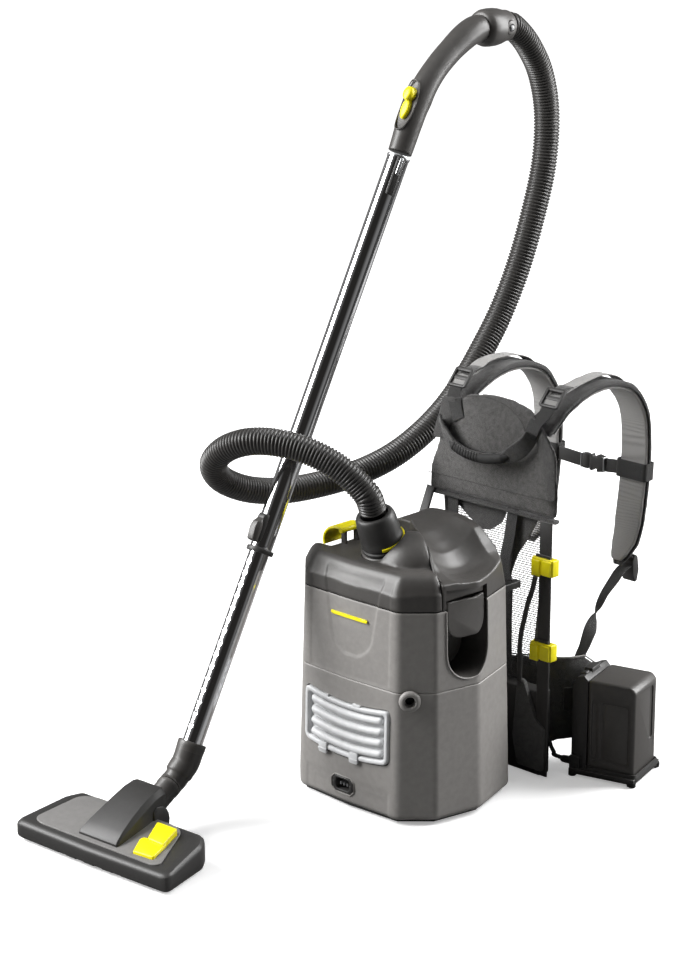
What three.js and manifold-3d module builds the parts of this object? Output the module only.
// Cordless backpack vacuum cleaner: suction unit on a harness frame, hose, telescopic wand,
// floor head and belt battery. Millimetres, +Z up, the unit's exhaust side faces -Y.
// Everything is laid out round the middle of the suction unit's base, then the whole layout is
// shifted so that the origin lies under the middle of the bounding box.
import * as THREE from "three";
import { mergeVertices } from "three/addons/utils/BufferGeometryUtils.js";
import Module from "manifold-3d";

const wasm = await Module();
wasm.setup();

// ---------------------------------------------------------------- driving dimensions
const LAYOUT_SHIFT = [3, 64.2, 0];
const GAP = 0.3;
const FULL_TURN = Math.PI * 2;

// Suction unit: right half of the body's plan at the floor, from the front to the back
const BODY_PLAN = [[0, -150], [106, -144], [152, -100], [170, -16], [140, 88], [112, 110]];
const BODY_CENTRE_Y = -16;
const BODY_TAPER = 0.06;
const BODY_FOOT_Z = 7;
const BODY_SEAM_Z = 219;
const BODY_RIM_Z = 350;
const BODY_WALL = 3;
const LID_BACK_Y = -86.5;
const LID_NECK_X = 92;
const LID_NECK_BACK_Y = -5;
const LID_SHOULDER_Z = 385;
const LID_TOP_Z = 406;
const LID_HUMP_Z = 456;

// Hose inlet on the lid, leaning forward
const INLET_BASE = new THREE.Vector3(5, -58, 402);
const INLET_LEAN = -22;

// Wand: the tube lies in one upright plane and leans back over the unit
const WAND_X = -149;
const WAND_FOOT = new THREE.Vector3(WAND_X, -340, 127);
const WAND_ANGLE = 61.7;
const WAND_LENGTH = 989;
const UPPER_TUBE_START = 320;
const UPPER_TUBE_R = 18;
const LOWER_TUBE_R = 16.4;
const TUBE_WALL = 1.2;
const TUBE_SIDES = 20;

// Floor head
const HEAD_AT = [-128, -521, 0];
const HEAD_YAW = 4;
const HEAD_FRONT_W = 328;
const HEAD_BACK_W = 288;
const HEAD_DEPTH = 118;
const HEAD_SOLE_Z = 5;
const HEAD_FRONT_Z = 32;
const HEAD_BACK_Z = 52;
const HOOD_FRONT_Y = -36;
const NECK_PIVOT = new THREE.Vector3(-131.84, -466.13, 40);
const ELBOW_JOINT = new THREE.Vector3(-149, -392, 68);

// Harness
const STAY_X = 145;
const HARNESS_Y = 190;
const PANEL_DEPTH = 18;
const STRAP_X = 96;

// Battery and belt holder
const BATTERY_AT = [222, 272, 0];
const BATTERY_YAW = 15;

// Bent handle on top of the wand, as points in its upright plane, and the air slider on it
const HANDLE_R = 21;
const HANDLE_PATH = [
  [131, 1003], [140, 1021], [154, 1050], [172, 1081], [193, 1108], [221, 1134], [255, 1158], [283, 1174],
  [302, 1182], [311, 1184], [319.6, 1184],
];
const SLIDER_AT = [163, 1067];
const SLIDER_LEAN = -29;

// Hose: outer diameter over the ribs and its hand-chosen route, from the handle to the lid
const HOSE_D = 44;
const HOSE_ROUTE = [
  [-149, 385.4, 1184], [-149, 391, 1184], [-149, 398, 1183], [-149, 428, 1162], [-149, 450, 1139],
  [-149, 473, 1106], [-147, 489, 1056], [-145, 492, 1006], [-142, 482, 940], [-140, 455, 862],
  [-143, 421, 773], [-150, 383, 695], [-153, 341, 639], [-155, 302, 595], [-159, 255, 552],
  [-166, 198, 515], [-178, 143, 488], [-194, 77, 470], [-212, 8, 462], [-230, -64, 463],
  [-245, -128, 477], [-251, -177, 504], [-238, -204, 536], [-206, -210, 566], [-163, -204, 586],
  [-122, -187, 591], [-82, -165, 584], [-48, -143, 568], [-22, -124, 547], [-6, -111, 527],
  [3, -104, 514], [5, -99.7, 505.2], [5, -95.2, 494.1], [5, -91.6, 485.1],
];

// ---------------------------------------------------------------- finishes
const finish = (color, roughness, metalness = 0) =>
  new THREE.MeshStandardMaterial({ color, roughness, metalness });
const DARK_PLASTIC = finish(0x3b3937, 0.5);
const BLACK_PLASTIC = finish(0x201f1e, 0.55);
const GREY_PLASTIC = finish(0x8d8b89, 0.55);
const PALE_PLASTIC = finish(0xc4c4c6, 0.45);
const YELLOW_PLASTIC = finish(0xf2e400, 0.45);
const HEAD_GREY = finish(0x8a8588, 0.45);
const RUBBER = finish(0x1b1b1b, 0.85);
const CHROME = finish(0xe6e6e8, 0.08, 1);
const STEEL = finish(0xb4b6b8, 0.3, 1);
const COPPER = finish(0xb87333, 0.35, 1);
const FABRIC = finish(0x55524f, 0.95);
const MESH_FABRIC = finish(0xa8a7a5, 0.95);
const WEBBING = finish(0x262524, 0.9);
const PAPER = finish(0xe9e6dc, 0.9);
const CIRCUIT_GREEN = finish(0x1d6b3a, 0.6);

// ---------------------------------------------------------------- solids
// Flips a closed geometry whose faces point inwards, and merges its shared points.
function closed(geometry) {
  const bare = geometry.clone();
  bare.deleteAttribute("normal");
  bare.deleteAttribute("uv");
  const merged = mergeVertices(bare, 1e-3);
  const index = Array.from(merged.index.array);
  const p = merged.attributes.position;
  const corners = [new THREE.Vector3(), new THREE.Vector3(), new THREE.Vector3()];
  let volume = 0;
  const kept = [];
  for (let i = 0; i < index.length; i += 3) {
    const [a, b, c] = index.slice(i, i + 3);
    if (a === b || b === c || c === a) continue;
    kept.push([a, b, c]);
    corners.forEach((corner, n) => corner.fromBufferAttribute(p, index[i + n]));
    volume += corners[0].dot(corners[1].clone().cross(corners[2]));
  }
  merged.setIndex(kept.flatMap(([a, b, c]) => (volume < 0 ? [a, c, b] : [a, b, c])));
  return merged;
}

function toSolid(geometry) {
  const g = closed(geometry);
  return new wasm.Manifold(new wasm.Mesh({
    numProp: 3,
    vertProperties: new Float32Array(g.attributes.position.array),
    triVerts: new Uint32Array(g.index.array),
  }));
}

function toGeometry(solid) {
  const mesh = solid.getMesh();
  const g = new THREE.BufferGeometry();
  g.setAttribute("position", new THREE.BufferAttribute(new Float32Array(mesh.vertProperties), 3));
  g.setIndex(Array.from(mesh.triVerts));
  return g;
}

const cut = (base, ...tools) =>
  toGeometry(tools.reduce((solid, tool) => solid.subtract(toSolid(tool)), toSolid(base)));
const join = (base, ...others) =>
  toGeometry(others.reduce((solid, other) => solid.add(toSolid(other)), toSolid(base)));
const common = (a, b) => toGeometry(toSolid(a).intersect(toSolid(b)));

// A block by its low and high corners
function block(x0, y0, z0, x1, y1, z1) {
  const g = new THREE.BoxGeometry(x1 - x0, y1 - y0, z1 - z0);
  return g.translate((x0 + x1) / 2, (y0 + y1) / 2, (z0 + z1) / 2);
}

// A solid skinned over rings of points that all have the same count
function loft(rings) {
  const count = rings[0].length;
  const g = new THREE.BufferGeometry();
  g.setAttribute("position", new THREE.Float32BufferAttribute(rings.flat(2), 3));
  const index = [];
  for (let r = 0; r + 1 < rings.length; r += 1) {
    for (let i = 0; i < count; i += 1) {
      const a = r * count + i;
      const b = r * count + ((i + 1) % count);
      index.push(a, b, b + count, a, b + count, a + count);
    }
  }
  for (const [ring, flip] of [[0, true], [rings.length - 1, false]]) {
    const flat = flatten(rings[ring]);
    for (const [a, b, c] of THREE.ShapeUtils.triangulateShape(flat, [])) {
      const base = ring * count;
      index.push(base + a, base + (flip ? c : b), base + (flip ? b : c));
    }
  }
  g.setIndex(index);
  return closed(g);
}

// A ring's points in the plane that shows it best, for filling its cap
function flatten(ring) {
  const normal = new THREE.Vector3();
  ring.forEach((point, i) => {
    const next = ring[(i + 1) % ring.length];
    normal.add(new THREE.Vector3(...point).cross(new THREE.Vector3(...next)));
  });
  normal.normalize();
  const side = new THREE.Vector3(1, 0, 0);
  if (Math.abs(normal.x) > 0.9) side.set(0, 1, 0);
  const up = normal.clone().cross(side).normalize();
  side.crossVectors(up, normal);
  return ring.map((point) => {
    const v = new THREE.Vector3(...point);
    return new THREE.Vector2(v.dot(side), v.dot(up));
  });
}

// A solid of revolution about Z from [radius, height] points
function turned(profile, sides = 24) {
  const g = new THREE.LatheGeometry(profile.map(([r, z]) => new THREE.Vector2(r, z)), sides);
  return closed(g.rotateX(Math.PI / 2));
}

const rod = (r, z0, z1, sides = 20) => turned([[0, z0], [r, z0], [r, z1], [0, z1]], sides);
const pipe = (r, wall, z0, z1, sides = 24) =>
  turned([[r - wall, z0], [r, z0], [r, z1], [r - wall, z1], [r - wall, z0]], sides);

// A tube swept along a smooth curve through the points
function swept(points, r, steps, sides = 12) {
  const circle = new THREE.Shape(
    Array.from({ length: sides }, (_, i) => new THREE.Vector2(
      r * Math.cos((i * FULL_TURN) / sides), r * Math.sin((i * FULL_TURN) / sides))));
  const curve = new THREE.CatmullRomCurve3(points.map((p) => new THREE.Vector3(...p)), false, "centripetal");
  return closed(new THREE.ExtrudeGeometry(circle, { steps, extrudePath: curve }));
}

// A flat strap that follows points in an upright plane; its width lies along X
function strap(points, width, thickness, steps) {
  const curve = new THREE.CatmullRomCurve3(points.map((p) => new THREE.Vector3(...p)), false, "centripetal");
  const across = new THREE.Vector3(1, 0, 0);
  const rings = [];
  for (let i = 0; i <= steps; i += 1) {
    const at = curve.getPointAt(i / steps);
    const out = curve.getTangentAt(i / steps).cross(across).normalize().multiplyScalar(thickness / 2);
    const half = width / 2;
    rings.push([[-half, -1], [half, -1], [half, 1], [-half, 1]].map(([x, side]) =>
      [at.x + x, at.y + side * out.y, at.z + side * out.z]));
  }
  return loft(rings);
}

// An outline in X and Z, extruded along Y
function plateXZ(outline, y0, y1) {
  const shape = new THREE.Shape(outline.map(([x, z]) => new THREE.Vector2(x, z)));
  const g = new THREE.ExtrudeGeometry(shape, { depth: y1 - y0, bevelEnabled: false });
  return closed(g.rotateX(Math.PI / 2).translate(0, y1, 0));
}

// An outline in X and Y, extruded along Z
function plateXY(outline, z0, z1) {
  const shape = new THREE.Shape(outline.map(([x, y]) => new THREE.Vector2(x, y)));
  const g = new THREE.ExtrudeGeometry(shape, { depth: z1 - z0, bevelEnabled: false });
  return closed(g.translate(0, 0, z0));
}

const mirrored = (half) => [...half, ...half.filter(([x]) => x > 0).reverse().map(([x, y]) => [-x, y])];
const radians = THREE.MathUtils.degToRad;

// ---------------------------------------------------------------- scene
const model = new THREE.Group();
model.position.set(...LAYOUT_SHIFT);

function add(name, geometry, material, parent = model) {
  const mesh = new THREE.Mesh(closed(geometry), material);
  mesh.name = name;
  parent.add(mesh);
  return mesh;
}

function group(position, rotation = [0, 0, 0], parent = model) {
  const g = new THREE.Group();
  g.position.set(...position);
  g.rotation.set(...rotation.map(radians));
  parent.add(g);
  return g;
}

// A group whose Z axis points from one point to another
function groupAlong(from, to) {
  const g = new THREE.Group();
  g.position.copy(from);
  g.quaternion.setFromUnitVectors(new THREE.Vector3(0, 0, 1), to.clone().sub(from).normalize());
  model.add(g);
  return g;
}

// ---------------------------------------------------------------- suction unit body
// The body's outline at a height, drawn in by an inset towards its middle
function bodyRing(z, inset = 0, plan = BODY_PLAN) {
  const scale = 1 - (BODY_TAPER * z) / BODY_RIM_Z - inset / 140;
  return mirrored(plan).map(([x, y]) =>
    [x * scale, BODY_CENTRE_Y + (y - BODY_CENTRE_Y) * scale, z]);
}

const bodySolid = (z0, z1, inset) => loft([bodyRing(z0, inset), bodyRing(z1, inset)]);

const GRILLE = { middle: -5, half: 90, z0: 86, z1: 184 };
const SOCKET = { x: -7, z: 38, half: 23, tall: 13.5 };
const POCKET = { y0: -76, y1: 14, z0: 232, x: 98 };
const ROUND_SOCKET = { at: [120, -129, 208], angle: -46 };

function socketShape(grow, y0, y1) {
  const [w, t] = [SOCKET.half + grow, SOCKET.tall + grow];
  const right = [[w - 6, -t], [w, 6 - t], [w, t - 6], [w - 6, t]];
  const left = right.map(([x, z]) => [-x, z]).reverse();
  return plateXZ([...right, ...left].map(([x, z]) => [x + SOCKET.x, z + SOCKET.z]), y0, y1);
}

function roundSocketHole(r, depth) {
  const g = rod(r, -depth, depth, 16);
  g.rotateX(Math.PI / 2).rotateZ(radians(ROUND_SOCKET.angle + 90));
  return g.translate(...ROUND_SOCKET.at);
}

function lowerBody() {
  const shell = cut(
    bodySolid(BODY_FOOT_Z, BODY_SEAM_Z, 0),
    bodySolid(BODY_FOOT_Z + BODY_WALL, BODY_SEAM_Z + 5, BODY_WALL),
    block(GRILLE.middle - GRILLE.half, -170, GRILLE.z0, GRILLE.middle + GRILLE.half, -110, GRILLE.z1),
    socketShape(0.5, -170, -110),
    roundSocketHole(9, 30),
  );
  add("lower_body", shell, GREY_PLASTIC);
  const pad = loft([bodyRing(BODY_FOOT_Z - 4, 8), bodyRing(BODY_FOOT_Z - GAP, 8)]);
  const feet = [[-105, -95], [105, -95], [-100, 70], [100, 70]].map(([x, y]) =>
    rod(16, 0, BODY_FOOT_Z - 3, 16).translate(x, y, 0));
  add("base_feet", join(pad, ...feet), RUBBER);
}

// The finger pocket that holds the lid latch, sunk in the right side
function pocketShape(grow) {
  const { y0, y1, z0, x } = POCKET;
  const r = (y1 - y0) / 2 + grow;
  const bowl = rod(r, x - grow, 200, 24).rotateY(Math.PI / 2).translate(0, (y0 + y1) / 2, z0 + r - grow);
  return join(bowl, block(x - grow, y0 - grow, z0 + r - grow, 200, y1 + grow, BODY_RIM_Z + 40));
}

function upperBody() {
  const z0 = BODY_SEAM_Z + GAP;
  const outer = bodySolid(z0, BODY_RIM_Z, 0);
  const shell = cut(outer, bodySolid(z0 - 5, BODY_RIM_Z + 5, BODY_WALL));
  const liner = common(pocketShape(BODY_WALL), outer);
  add("upper_body", cut(join(shell, liner), pocketShape(0)), GREY_PLASTIC);
}

// ---------------------------------------------------------------- lid with the hose inlet
const LID_PLAN = [
  [0, -150], [106, -144], [152, -100], [155, LID_BACK_Y], [LID_NECK_X, LID_BACK_Y],
  [LID_NECK_X, LID_NECK_BACK_Y],
];

// The lid's outline at a height; its back edges stay straight while its front draws in
function lidRing(z, inset) {
  const scale = 1 - (BODY_TAPER * z) / BODY_RIM_Z - inset / 140;
  const back = LID_BACK_Y - inset / 8;
  return mirrored(LID_PLAN).map(([x, y]) => {
    if (Math.abs(x) === LID_NECK_X) return [x - Math.sign(x) * inset, y - inset / 8, z];
    const front = BODY_CENTRE_Y + (y - BODY_CENTRE_Y) * scale;
    return [x * scale, y === LID_BACK_Y ? back : Math.min(front, back - 2), z];
  });
}

function lidDome(grow) {
  const dome = new THREE.SphereGeometry(1, 20, 12);
  dome.scale(76 + grow, 52 + grow, LID_HUMP_Z - LID_TOP_Z + 30 + grow);
  dome.translate(6, -44, LID_TOP_Z - 30);
  return common(dome, block(-LID_NECK_X, -140, LID_TOP_Z - 30 - grow, LID_NECK_X, LID_NECK_BACK_Y + grow / 3, 460));
}

function inletShape(r, z0, z1) {
  return rod(r, z0, z1, 24).rotateX(radians(-INLET_LEAN)).translate(...INLET_BASE.toArray());
}

function lid() {
  const z0 = BODY_RIM_Z + GAP;
  const skin = loft([lidRing(z0, 0), lidRing(LID_SHOULDER_Z, 1), lidRing(LID_TOP_Z - 8, 6), lidRing(LID_TOP_Z, 20)]);
  const room = loft([
    lidRing(z0 - 5, 3), lidRing(LID_SHOULDER_Z, 4), lidRing(LID_TOP_Z - 10, 9), lidRing(LID_TOP_Z - 3, 22),
  ]);
  const outside = join(skin, lidDome(0), inletShape(33, -10, 22));
  const latchSeat = block(-140, -84, 400, -70, -12, 470);
  const lockRoom = inletShape(41, 22, 120);
  add("lid", cut(outside, room, lidDome(-3), inletShape(26, -40, 30), latchSeat, lockRoom), DARK_PLASTIC);

  const seal = cut(
    loft([bodyRing(BODY_RIM_Z - 6, BODY_WALL + 0.6), bodyRing(BODY_RIM_Z - 1, BODY_WALL + 0.6)]),
    loft([bodyRing(BODY_RIM_Z - 7, BODY_WALL + 6), bodyRing(BODY_RIM_Z, BODY_WALL + 6)]),
    pocketShape(BODY_WALL + 1),
  );
  add("lid_seal", seal, RUBBER);
}

function inletCuff() {
  const g = group(INLET_BASE.toArray(), [-INLET_LEAN, 0, 0]);
  const spigot = [[21, -6], [25.6, -6], [25.6, 22.3], [35, 22.3], [35, 30], [33.5, 32], [33.5, 40]];
  const sleeve = [[32, 44], [30, 72], [27, 80], [22, 86], [19, 89], [19, 60], [21, 50], [21, -6]];
  add("inlet_cuff", turned([...spigot, ...sleeve]), BLACK_PLASTIC, g);
  const ring = turned([[33.9, 32.4], [37, 32.4], [37, 38], [33.9, 38], [33.9, 32.4]]);
  add("inlet_lock_ring", join(ring, block(36, -7, 32.4, 40, 7, 50)), YELLOW_PLASTIC, g);
}

const LATCH_PIN = [-84, -50, 430];

function lidLatch() {
  const outline = [[-118, -6], [-124, 0], [-124, 12], [-114, 23], [-100, 27], [-78, 27], [-78, 21], [-98, 21],
    [-109, 17], [-117, 9], [-117, 0]];
  const lever = plateXZ(outline.map(([x, z]) => [x, z + 406]), -74, -26);
  const across = (r, reach) => rod(r, -reach, reach, 12).rotateX(Math.PI / 2).translate(...LATCH_PIN);
  add("lid_latch", cut(join(lever, across(5, 24)), across(2.3, 30)), YELLOW_PLASTIC);
  const ears = [-81, -23.7].map((y) => block(-89, y, 403, -79, y + 4, 435));
  add("latch_pin_bracket", join(across(2, 29), ...ears, block(-89, -81, 400.3, -79, -19.7, 404)), DARK_PLASTIC);
}

// ---------------------------------------------------------------- rear shoulder of the unit
const SHOULDER_PROFILE = [
  [0, 446], [44, 444], [70, 434], [90, 412], [110, 394], [134, 380], [175, 372],
];
const SHOULDER_LEFT_PROFILE = [[-34, 446], [-46, 422], [-62, 408], [-92, 398], [-134, 380], [-175, 372]];
const SHOULDER_BACK_LEAN = 0.72;

function shoulderSolid(drop, inset) {
  const top = SHOULDER_PROFILE.map(([x, z]) => [x, z - drop]);
  const left = SHOULDER_LEFT_PROFILE.map(([x, z]) => [x, z - drop]).reverse();
  const low = BODY_RIM_Z - (drop > 0 ? 5 : -GAP);
  const ridge = plateXZ([...left, ...top, [175, low], [-175, low]], LID_BACK_Y - 10, 130);
  const upper = bodyRing(450, inset).map(([x, y, z]) => [x, y > 0 ? y * SHOULDER_BACK_LEAN : y, z]);
  const body = loft([bodyRing(low, inset), upper]);
  const front = LID_BACK_Y + GAP + inset;
  const neck = LID_NECK_X + GAP + inset;
  return cut(
    common(ridge, body),
    block(-200, -200, 300, 200, front, 480),
    block(-neck, -200, 300, neck, LID_NECK_BACK_Y + GAP + inset, 480),
  );
}

function rearShoulder() {
  const outer = shoulderSolid(0, 0);
  const shell = cut(outer, shoulderSolid(BODY_WALL, BODY_WALL));
  const liner = common(pocketShape(BODY_WALL), outer);
  const pocket = common(pocketShape(0), block(90, -90, 340, 200, 30, 362));
  add("rear_shoulder", cut(join(shell, liner), pocket), DARK_PLASTIC);
}

// The dark finger flap that fills the upper part of the pocket
function pocketFlap() {
  const outline = [[-72, 360], [10, 360], [10, 312], [-2, 303], [-31, 299], [-60, 303], [-72, 312]];
  const g = plateXZ(outline, 0, 4).rotateZ(Math.PI / 2);
  g.translate(146, 0, 0);
  add("pocket_flap", join(g, rod(3.5, -70, 8, 10).rotateX(-Math.PI / 2).translate(143, 0, 357)), DARK_PLASTIC);
}

// ---------------------------------------------------------------- openings, sockets and grille
function exhaustGrille() {
  const half = GRILLE.half - 2;
  const bow = (x) => -6 * (1 - (x / half) ** 2);
  const xs = Array.from({ length: 9 }, (_, i) => -half + (i * half) / 4);
  const front = xs.map((x) => [x, -144 + bow(x)]);
  const back = [...xs].reverse().map((x) => [x, -136 + bow(x)]);
  const plate = plateXY([...front, ...back], GRILLE.z0 + 2, GRILLE.z1 - 2);
  const slots = Array.from({ length: 4 }, (_, i) => {
    const z = GRILLE.z0 + 17 + i * 20;
    return block(10 - half, -170, z, half - 10, -120, z + 7);
  });
  const clips = [-43, 25].flatMap((x) => [
    block(x - 9, -153.5, GRILLE.z0 - 6, x + 9, -149.7, GRILLE.z0 + 12),
    block(x - 9, -152, GRILLE.z0 + 1, x + 9, -144, GRILLE.z0 + 12),
  ]);
  add("exhaust_grille", join(cut(plate, ...slots), ...clips).translate(GRILLE.middle, 0, 0), PALE_PLASTIC);
  add("exhaust_filter", block(-84, -126, GRILLE.z0 + 4, 74, -106, GRILLE.z1 - 4), PAPER);
}

function sockets() {
  const [x, z] = [SOCKET.x, SOCKET.z];
  const hollow = block(x - 11, -160, z - 8, x + 11, -128, z + 8);
  const pins = [-6, 0, 6].map((at) => block(x + at - 1, -142, z - 3, x + at + 1, -126, z + 3));
  add("charge_socket", join(cut(socketShape(0, -149, -116), hollow), ...pins), BLACK_PLASTIC);
  const g = group(ROUND_SOCKET.at, [0, 0, ROUND_SOCKET.angle + 90]);
  const sleeve = turned([[6, -14], [8.7, -14], [8.7, 4], [12, 4], [12, 6.5], [6, 6.5], [6, -14]], 16);
  add("round_socket", sleeve.rotateY(Math.PI / 2).rotateZ(-Math.PI / 2), BLACK_PLASTIC, g);
}

// ---------------------------------------------------------------- inside the unit
const MOTOR_AT = [0, -20, 0];

function motorUnit() {
  const g = group(MOTOR_AT);
  const housing = turned([
    [20, 14], [62, 14], [62, 76], [70, 82], [70, 122], [24, 122], [24, 119], [66, 119], [66, 85], [58, 79],
    [58, 18], [20, 18], [20, 14],
  ], 28);
  const exhaust = block(-40, -90, 88, 40, -50, 112);
  add("motor_housing", cut(housing, exhaust), BLACK_PLASTIC, g);
  add("motor_stator", pipe(52, 22, 26, 72, 24), STEEL, g);
  add("motor_shaft", turned([[0, 20], [4, 20], [4, 30], [26, 30], [26, 68], [4, 68], [4, 112], [0, 112]], 16), COPPER, g);
  add("lower_bearing", pipe(11, 6.9, 19, 28, 16), STEEL, g);
  add("upper_bearing", pipe(11, 6.9, 74, 82, 16), STEEL, g);
  const blades = Array.from({ length: 9 }, (_, i) =>
    block(12, -1, 92, 58, 1, 108).rotateZ((i * FULL_TURN) / 9));
  add("fan_impeller", join(pipe(60, 55.7, 88, 92, 28), pipe(14, 9.7, 88, 114, 16), ...blades), STEEL, g);
}

function filters() {
  const [x, y] = MOTOR_AT;
  add("motor_filter", block(x - 62, y - 52, 128, x + 62, y + 52, 138), PAPER);
  const deck = block(-118, -102, 140, 118, 78, 144);
  add("bag_deck", cut(deck, rod(40, 130, 150, 20).translate(x, y, 0)), BLACK_PLASTIC);
  const bag = [
    [[60, 150], [78, 168], [80, 280], [66, 318], [20, 332]],
    [[52, 150], [62, 168], [64, 280], [54, 318], [18, 332]],
  ];
  const rings = bag[0].map(([rx, z], i) => Array.from({ length: 16 }, (_, n) => {
    const a = (n * FULL_TURN) / 16;
    return [-6 + rx * Math.cos(a), -34 + bag[1][i][0] * Math.sin(a), z];
  }));
  const plate = block(-50, -80, 330, 50, -8, 334);
  const mouth = rod(24, 320, 345, 20).translate(0, -44, 0);
  add("filter_bag", cut(join(loft(rings), plate), mouth), PAPER);
  add("control_board", block(-96, 60, 40, 20, 62, 120), CIRCUIT_GREEN);
}

// ---------------------------------------------------------------- hose and handle
function hoseAndHandle() {
  add("hose", swept(HOSE_ROUTE, HOSE_D / 2, 64, 12), RUBBER);
  const end = group([WAND_X, 340, 1184], [-90, 0, 0]);
  const cuff = turned([[18, -19], [27, -19], [31, -8], [31, 18], [27, 32], [24, 45], [18, 45], [18, -19]]);
  add("hose_cuff", join(cuff, rod(3.2, 23, 28, 10).rotateY(Math.PI / 2).translate(0, 0, 32)), DARK_PLASTIC, end);
  const path = HANDLE_PATH.map(([y, z]) => [WAND_X, y, z]);
  const tilted = (geometry) => geometry.rotateX(radians(SLIDER_LEAN)).translate(WAND_X, ...SLIDER_AT);
  add("handle_grip", cut(swept(path, HANDLE_R, 20, 16), tilted(block(-9, -40, -32, 9, 5 - HANDLE_R, 32))), DARK_PLASTIC);
  const slider = block(-8, 4 - HANDLE_R - 8, -14, 8, 4.6 - HANDLE_R, 20);
  const knob = block(-8, -HANDLE_R - 10, 6, 8, -HANDLE_R - 3, 20);
  add("air_slider", tilted(join(slider, knob)), YELLOW_PLASTIC);
}

// ---------------------------------------------------------------- telescopic wand
const WAND_DIR = new THREE.Vector3(0, Math.cos(radians(WAND_ANGLE)), Math.sin(radians(WAND_ANGLE)));
const wand = groupAlong(WAND_FOOT, WAND_FOOT.clone().add(WAND_DIR));

function wandTubes() {
  add("upper_tube", pipe(UPPER_TUBE_R, TUBE_WALL, UPPER_TUBE_START, WAND_LENGTH - GAP, TUBE_SIDES), CHROME, wand);
  add("lower_tube", pipe(LOWER_TUBE_R, TUBE_WALL, -36, UPPER_TUBE_START + 95, TUBE_SIDES), CHROME, wand);
  const r = UPPER_TUBE_R + GAP;
  const collar = pipe(r + 3.4, 3.4, UPPER_TUBE_START - 4, UPPER_TUBE_START + 3, TUBE_SIDES);
  const saddle = cut(block(-10, -r - 13, UPPER_TUBE_START, 10, -r + 4, UPPER_TUBE_START + 56),
    rod(r, 300, 420, TUBE_SIDES), block(-7.3, -60, UPPER_TUBE_START + 8, 7.3, -r - 4, UPPER_TUBE_START + 80));
  add("release_collar", join(collar, saddle), BLACK_PLASTIC, wand);
  const button = [[-r - 4.3, 0], [-r - 16, 0], [-r - 16, 20], [-r - 12, 32], [-r - 4.3, 34]];
  const slab = new THREE.ExtrudeGeometry(
    new THREE.Shape(button.map(([y, z]) => new THREE.Vector2(y, z))), { depth: 14, bevelEnabled: false });
  slab.applyMatrix4(new THREE.Matrix4().makeBasis(
    new THREE.Vector3(0, 1, 0), new THREE.Vector3(0, 0, 1), new THREE.Vector3(1, 0, 0)));
  add("release_button", slab.translate(-7, 0, UPPER_TUBE_START + 9), BLACK_PLASTIC, wand);
}

// ---------------------------------------------------------------- floor head
const head = group(HEAD_AT, [0, 0, HEAD_YAW]);
const headTop = (y) => HEAD_FRONT_Z + ((y + HEAD_DEPTH / 2) / HEAD_DEPTH) * (HEAD_BACK_Z - HEAD_FRONT_Z);

function headOutline(inset) {
  const [front, back, half] = [HEAD_FRONT_W / 2 - inset, HEAD_BACK_W / 2 - inset, HEAD_DEPTH / 2 - inset];
  return mirrored([[0, -half - 3], [front - 14, -half], [front, -half + 12], [back, half - 14], [back - 14, half], [0, half]]);
}

const headRing = (inset, height) => headOutline(inset).map(([x, y]) => [x, y, height(y)]);

// The pedal's outline, drawn in by an inset towards its middle, at two heights over the head's slope
const PEDAL_OUTLINE = [[74, -38], [114, -36], [98, 34], [56, 34]];
const PEDAL_MIDDLE = [85.5, -1.5];

function pedalSolid(levels) {
  return loft(levels.map(([inset, front, back = front]) => PEDAL_OUTLINE.map(([x, y]) => {
    const [dx, dy] = [x - PEDAL_MIDDLE[0], y - PEDAL_MIDDLE[1]];
    return [x - Math.sign(dx) * inset, y - Math.sign(dy) * inset, headTop(y) + (dy > 0 ? back : front)];
  })));
}

function headHousing() {
  const shell = loft([
    headRing(4, () => HEAD_SOLE_Z), headRing(0, () => HEAD_SOLE_Z + 8), headRing(0, (y) => headTop(y) - 7),
    headRing(9, (y) => headTop(y)),
  ]);
  const duct = block(-110, -14, 0, 110, 14, 18);
  const brushSlots = [-38, 30].map((y) => block(-136, y - GAP, 0, 136, y + 8 + GAP, 22));
  const linkSlots = [-122, 122].map((x) => block(x - 5, -38, 0, x + 5, 38, 22));
  const wheelWells = [-96, 96].map((x) => block(x - 9, 40, 0, x + 9, 56, 17));
  const neckWell = block(-29, 32, 12, 29, 80, 70);
  const pedalWell = pedalSolid([[-0.6, -6], [-0.6, 20]]);
  add("head_housing", cut(shell, duct, ...brushSlots, ...linkSlots, ...wheelWells, neckWell, pedalWell),
    BLACK_PLASTIC, head);
  const inlay = loft([
    headRing(18, (y) => headTop(y) + GAP), headRing(20, (y) => headTop(y) + 2.5),
  ]);
  const hoodSeat = block(-38 - GAP, HOOD_FRONT_Y - GAP, 0, 38 + GAP, 80, 90);
  add("head_inlay", cut(inlay, hoodSeat, pedalWell), HEAD_GREY, head);
}

function headHood() {
  const rings = [
    [HOOD_FRONT_Y, 38, 40, 2], [-12, 37, 58, 6], [20, 36, 73, 8], [50, 35, 85, 8], [80, 33, 90, 8],
  ].map(([y, w, top, bevel]) => [
    [-w, y, headTop(y) + GAP], [w, y, headTop(y) + GAP], [w, y, top - bevel], [w - 8, y, top],
    [-w + 8, y, top], [-w, y, top - bevel],
  ]);
  const wellOutline = [[28, 20], [100, 20], [100, 86], [60, 80], [28, 66]];
  const well = plateXZ(wellOutline, -29, 29).rotateZ(Math.PI / 2);
  add("head_hood", cut(loft(rings), well), BLACK_PLASTIC, head);
}

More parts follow.
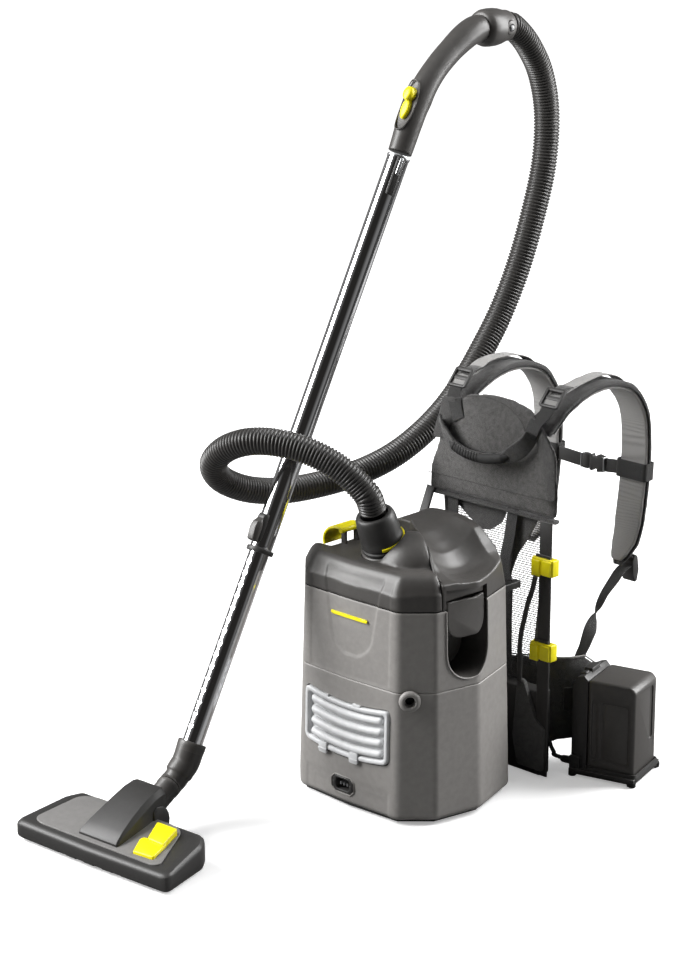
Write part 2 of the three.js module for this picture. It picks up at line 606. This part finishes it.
function headMoving() {
  const strips = [-38, 30].flatMap((y) => [
    block(-135, y, 8, 135, y + 8, 14), block(-133, y + 2, 0, 133, y + 6, 9),
  ]);
  const links = [-126, 118].map((x) => block(x, -38, 9, x + 8, 38, 14));
  add("brush_frame", join(...strips, ...links), RUBBER, head);
  for (const [name, x] of [["left_wheel", -96], ["right_wheel", 96]]) {
    add(name, rod(7, -6, 6, 16).rotateY(Math.PI / 2).translate(x, 48, 7), RUBBER, head);
  }
  add("rocker_pedal", pedalSolid([[0, 0.6], [1, 7, 12]]), YELLOW_PLASTIC, head);
}

// Neck barrel that tilts in the head, and the elbow that turns on it
function neckAndElbow() {
  const barrel = rod(16, -27, 27, 18).rotateY(Math.PI / 2);
  const neck = groupAlong(NECK_PIVOT, ELBOW_JOINT);
  const reach = NECK_PIVOT.distanceTo(ELBOW_JOINT);
  const tube = cut(rod(19, 0, reach - GAP, 20), rod(14, 20, reach + 5, 16));
  barrel.rotateZ(radians(HEAD_YAW));
  add("neck", join(tube, barrel.applyQuaternion(neck.quaternion.clone().invert())), DARK_PLASTIC, neck);

  const along = ELBOW_JOINT.clone().sub(NECK_PIVOT).normalize();
  const socketEnd = WAND_FOOT.clone();
  const elbowPath = [
    ELBOW_JOINT.clone().addScaledVector(along, GAP), ELBOW_JOINT.clone().addScaledVector(along, 10),
    new THREE.Vector3(WAND_X, -367, 85), socketEnd.clone().addScaledVector(WAND_DIR, -34),
  ];
  const lower = swept(elbowPath.map((p) => p.toArray()), 19, 10, 18);
  const socket = rod(22, -40, 0, 20).applyMatrix4(new THREE.Matrix4().makeRotationFromQuaternion(wand.quaternion));
  socket.translate(...socketEnd.toArray());
  const bore = rod(LOWER_TUBE_R + GAP, -37, 10, 20)
    .applyMatrix4(new THREE.Matrix4().makeRotationFromQuaternion(wand.quaternion));
  bore.translate(...socketEnd.toArray());
  add("elbow", cut(join(lower, socket), bore), DARK_PLASTIC);
}

// ---------------------------------------------------------------- harness
function harnessFrame() {
  const base = block(-140, 165, 0, 140, HARNESS_Y, 146);
  const slot = block(-40, 150, 92, 40, 200, 118);
  const lightening = block(-118, 170, 12, 118, 200, 80);
  add("frame_base", cut(base, slot, lightening), BLACK_PLASTIC);
  for (const [name, x] of [["right_stay", STAY_X], ["left_stay", -STAY_X]]) {
    add(name, block(x - 12, 161, 4, x + 12, 164.7, 440), BLACK_PLASTIC);
  }
  for (const [name, z] of [["upper_clip", 366], ["lower_clip", 222]]) {
    const body = block(STAY_X - 22, 154, z - 14, STAY_X + 22, 171, z + 14);
    const slotForStay = block(STAY_X - 13, 160.5, z - 30, STAY_X + 13, 165.3, z + 30);
    add(name, cut(body, slotForStay), YELLOW_PLASTIC);
  }
  const bracket = block(-60, 112, 300, 60, 118, 336);
  const arms = [-60, 46].map((x) => block(x, 112, 300, x + 14, 204, 312));
  add("unit_bracket", join(bracket, ...arms), BLACK_PLASTIC);
}

function harnessSoftParts() {
  const half = [[0, 624], [40, 619], [78, 606], [100, 587], [126, 535], [136, 442]];
  const left = half.slice(1).map(([x, z]) => [-x, z]).reverse();
  add("back_panel", plateXZ([...left, ...half], HARNESS_Y, HARNESS_Y + PANEL_DEPTH), FABRIC);
  const meshHalf = [[-116, 441], [116, 441], [106, 176], [-106, 176]];
  add("back_mesh", plateXZ(meshHalf, 206, 211), MESH_FABRIC);

  const beltLine = [[-144, 325], [-138, 270], [-114, 232], [-60, 214], [0, 210], [60, 214], [114, 232], [138, 270], [144, 325]];
  const inner = beltLine.map(([x, y]) => [x * 0.86, y + 22]).reverse();
  add("hip_belt", plateXY([...beltLine, ...inner], 30, 168), FABRIC);

  const shoulder = [
    [222, 582], [242, 602], [286, 621], [346, 627], [408, 608], [444, 563], [453, 514], [453, 463], [446, 397],
    [434, 340], [410, 304],
  ];
  for (const [name, x] of [["right_shoulder_strap", STRAP_X], ["left_shoulder_strap", -STRAP_X]]) {
    add(name, strap(shoulder.map(([y, z]) => [x, y, z]), 58, 16, 22), FABRIC);
  }
  const socket = cut(block(6, 442, 437, 36, 456, 471), block(0, 445.5, 442, 30, 452.5, 466));
  add("chest_strap_right", join(socket, block(35, 448, 442, 66.5, 450.5, 466)), WEBBING);
  const prongs = [444, 458].map((z) => block(-4, 446, z, 26, 452, z + 6));
  const webbing = block(-66.5, 448, 442, -3, 450.5, 466);
  add("chest_strap_left", join(webbing, block(-10, 445, 439, 4, 453, 469), ...prongs), WEBBING);

  const carry = [
    [-102, 181, 562], [-84, 176, 540], [-46, 169, 522], [6, 167, 518], [58, 169, 531], [86, 175, 553], [97, 181, 572],
  ];
  add("carry_handle", swept(carry, 8, 14, 8), RUBBER);
}

// ---------------------------------------------------------------- battery on its belt holder
const cableSocket = new THREE.Vector3(-68.3, -42, 22);

function batteryAndHolder() {
  const g = group(BATTERY_AT, [0, 0, BATTERY_YAW]);
  const base = block(-68, -54, 4, 48, 54, 13);
  const feet = [[-62, -48], [42, -48], [-62, 48], [42, 48]].map(([x, y]) => block(x - 6, y - 6, 0, x + 6, y + 6, 5));
  const plate = plateXZ([[-68, 12], [-40.4, 12], [-40.4, 166], [-48, 174], [-60, 170], [-68, 156]], -44, 46);
  const relief = block(-68, -52, 12, -50, -40, 34);
  const well = block(-61, -15.3, 156, -45.7, 15.3, 190);
  add("battery_holder", join(cut(plate, well), base, ...feet, relief), BLACK_PLASTIC, g);
  const cell = plateXZ([[-40, 13.4], [44, 13.4], [44, 162], [36, 170], [-40, 170]], -46, 46);
  add("battery_pack", cell, DARK_PLASTIC, g);
  add("battery_button", block(-60.7, -15, 162, -46, 15, 178), BLACK_PLASTIC, g);
  g.updateMatrix();
  cableSocket.applyMatrix4(g.matrix);
}

function batteryCable() {
  const { x, y, z } = cableSocket;
  const route = [
    [140.6, 178, 66], [144, 178, 66], [147.5, 179, 62], [149, 183, 50], [148.5, 191, 38], [x - 25, y - 14, 29],
    [x - 11.6, y - 3.1, z + 0.5], [x - 5.8, y - 1.6, z], [x, y, z],
  ];
  add("battery_cable", swept(route, 3.5, 18, 8), RUBBER);
}

lowerBody();
upperBody();
lid();
inletCuff();
lidLatch();
rearShoulder();
pocketFlap();
exhaustGrille();
sockets();
motorUnit();
filters();
hoseAndHandle();
wandTubes();
headHousing();
headHood();
headMoving();
neckAndElbow();
harnessFrame();
harnessSoftParts();
batteryAndHolder();
batteryCable();

export default model;
